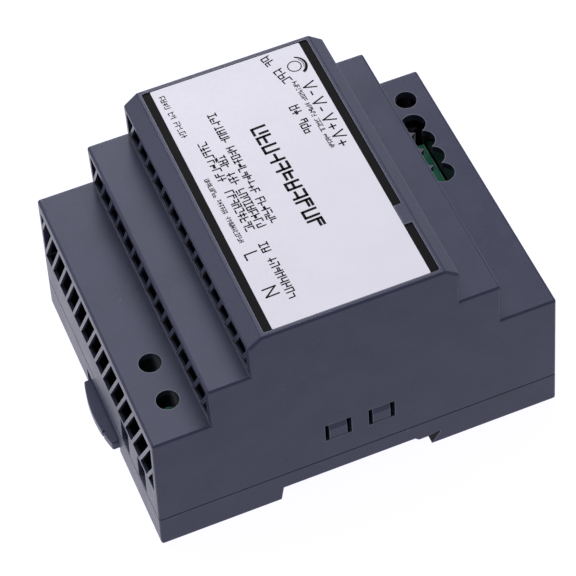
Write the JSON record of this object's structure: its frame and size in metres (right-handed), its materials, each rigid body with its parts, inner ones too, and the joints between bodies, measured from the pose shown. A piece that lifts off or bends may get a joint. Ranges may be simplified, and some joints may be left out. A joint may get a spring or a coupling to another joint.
{
  "type": "din rail power supply",
  "caption": "Stepped modular power supply that clips onto a 35 mm rail, with slanted vent grilles, screw terminals under access holes, a label panel and a sprung rail latch.",
  "frame": {"origin": "in the rear plane, on the centre line of the 35 mm rail and at the middle of the width along the rail", "axes": "the unit lies on its back: +Z out of the front label, X along the height with the input and latch end at -X and the output end at +X, Y along the rail"},
  "size_m": [0.0944, 0.071, 0.058],
  "materials": {
    "body_plastic": "fine moulded texture, satin",
    "latch_plastic": "moulded, satin",
    "panel_black": "polished black",
    "label_white": "printed polyester film, satin",
    "terminal_green": "moulded",
    "screw_steel": "zinc plated",
    "clamp_steel": "zinc plated",
    "spring_steel": "drawn wire",
    "contact_tin": "tin plated",
    "board_laminate": "glass fibre laminate with solder resist",
    "component_black": "moulded epoxy",
    "capacitor_sleeve": "shrunk sleeve",
    "film_grey": "moulded box",
    "disc_blue": "dipped coating",
    "disc_green": "dipped coating",
    "heatsink_black": "black anodised",
    "ferrite": "ground ferrite",
    "winding_tape": "dark insulating tape over the winding",
    "copper_wire": "enamelled wire"
  },
  "bodies": {
    "enclosure": {"housing": "body_plastic", "rear_cover": "body_plastic", "front_panel": "panel_black", "label": "label_white", "latch_spring": "spring_steel", "input_terminal_block": "terminal_green", "output_terminal_block": "terminal_green", "fuse": "component_black", "surge_varistor": "disc_blue", "inrush_thermistor": "disc_green", "mains_filter_capacitor": "film_grey", "filter_choke_core": "ferrite", "filter_choke_winding_1": "copper_wire", "filter_choke_winding_2": "copper_wire", "bridge_rectifier": "component_black", "bulk_capacitor": "capacitor_sleeve", "control_chip": "component_black", "primary_heatsink": "heatsink_black", "switching_transistor": "component_black", "transformer_bobbin": "component_black", "transformer_core": "ferrite", "transformer_winding": "winding_tape", "isolation_capacitor": "disc_blue", "optocoupler": "component_black", "output_heatsink": "heatsink_black", "output_rectifier": "component_black", "output_capacitor_1": "capacitor_sleeve", "output_capacitor_2": "capacitor_sleeve", "output_capacitor_3": "capacitor_sleeve", "output_inductor": "copper_wire", "trimmer_body": "disc_blue", "heatsink_screws": "screw_steel", "input_contacts": "contact_tin", "output_contacts": "contact_tin", "circuit_board": "board_laminate"},
    "latch": {"rail_latch": "latch_plastic"},
    "trimmer": {"trimmer_rotor": "component_black"},
    "input_screw_1": {"input_screw_1": "screw_steel"},
    "input_clamp_1": {"input_clamp_1": "clamp_steel"},
    "input_screw_2": {"input_screw_2": "screw_steel"},
    "input_clamp_2": {"input_clamp_2": "clamp_steel"},
    "output_screw_1": {"output_screw_1": "screw_steel"},
    "output_clamp_1": {"output_clamp_1": "clamp_steel"},
    "output_screw_2": {"output_screw_2": "screw_steel"},
    "output_clamp_2": {"output_clamp_2": "clamp_steel"},
    "output_screw_3": {"output_screw_3": "screw_steel"},
    "output_clamp_3": {"output_clamp_3": "clamp_steel"},
    "output_screw_4": {"output_screw_4": "screw_steel"},
    "output_clamp_4": {"output_clamp_4": "clamp_steel"}
  },
  "joints": [
    {"name": "latch_pull", "type": "slide", "parent": "enclosure", "child": "latch", "axis": [-1, 0, 0], "range_m": [0, 0.003], "stiffness_N_per_m": 400, "springref_m": -0.004, "deforming": ["latch_spring"]},
    {"name": "trimmer_turn", "type": "hinge", "parent": "enclosure", "child": "trimmer", "pos_m": [0.0391, 0.0283, 0.0187], "axis": [0, 0, -1], "range_deg": [-135, 135]},
    {"name": "input_screw_1_turn", "type": "hinge", "parent": "enclosure", "child": "input_screw_1", "pos_m": [-0.0366, -0.01557, 0.02], "axis": [0, 0, -1], "range_deg": [0, 1620]},
    {"name": "input_clamp_1_rise", "type": "slide", "parent": "enclosure", "child": "input_clamp_1", "axis": [0, 0, 1], "range_m": [0, 0.00225]},
    {"name": "input_screw_2_turn", "type": "hinge", "parent": "enclosure", "child": "input_screw_2", "pos_m": [-0.0366, -0.02573, 0.02], "axis": [0, 0, -1], "range_deg": [0, 1620]},
    {"name": "input_clamp_2_rise", "type": "slide", "parent": "enclosure", "child": "input_clamp_2", "axis": [0, 0, 1], "range_m": [0, 0.00225]},
    {"name": "output_screw_1_turn", "type": "hinge", "parent": "enclosure", "child": "output_screw_1", "pos_m": [0.0366, 0.02122, 0.02], "axis": [0, 0, -1], "range_deg": [0, 1620]},
    {"name": "output_clamp_1_rise", "type": "slide", "parent": "enclosure", "child": "output_clamp_1", "axis": [0, 0, 1], "range_m": [0, 0.00225]},
    {"name": "output_screw_2_turn", "type": "hinge", "parent": "enclosure", "child": "output_screw_2", "pos_m": [0.0366, 0.01614, 0.02], "axis": [0, 0, -1], "range_deg": [0, 1620]},
    {"name": "output_clamp_2_rise", "type": "slide", "parent": "enclosure", "child": "output_clamp_2", "axis": [0, 0, 1], "range_m": [0, 0.00225]},
    {"name": "output_screw_3_turn", "type": "hinge", "parent": "enclosure", "child": "output_screw_3", "pos_m": [0.0366, 0.01106, 0.02], "axis": [0, 0, -1], "range_deg": [0, 1620]},
    {"name": "output_clamp_3_rise", "type": "slide", "parent": "enclosure", "child": "output_clamp_3", "axis": [0, 0, 1], "range_m": [0, 0.00225]},
    {"name": "output_screw_4_turn", "type": "hinge", "parent": "enclosure", "child": "output_screw_4", "pos_m": [0.0366, 0.00598, 0.02], "axis": [0, 0, -1], "range_deg": [0, 1620]},
    {"name": "output_clamp_4_rise", "type": "slide", "parent": "enclosure", "child": "output_clamp_4", "axis": [0, 0, 1], "range_m": [0, 0.00225]}
  ],
  "couplings": [
    {"joint": "input_screw_1_turn", "follows": "input_clamp_1_rise", "rad_per_m": 12566},
    {"joint": "input_screw_2_turn", "follows": "input_clamp_2_rise", "rad_per_m": 12566},
    {"joint": "output_screw_1_turn", "follows": "output_clamp_1_rise", "rad_per_m": 12566},
    {"joint": "output_screw_2_turn", "follows": "output_clamp_2_rise", "rad_per_m": 12566},
    {"joint": "output_screw_3_turn", "follows": "output_clamp_3_rise", "rad_per_m": 12566},
    {"joint": "output_screw_4_turn", "follows": "output_clamp_4_rise", "rad_per_m": 12566}
  ]
}
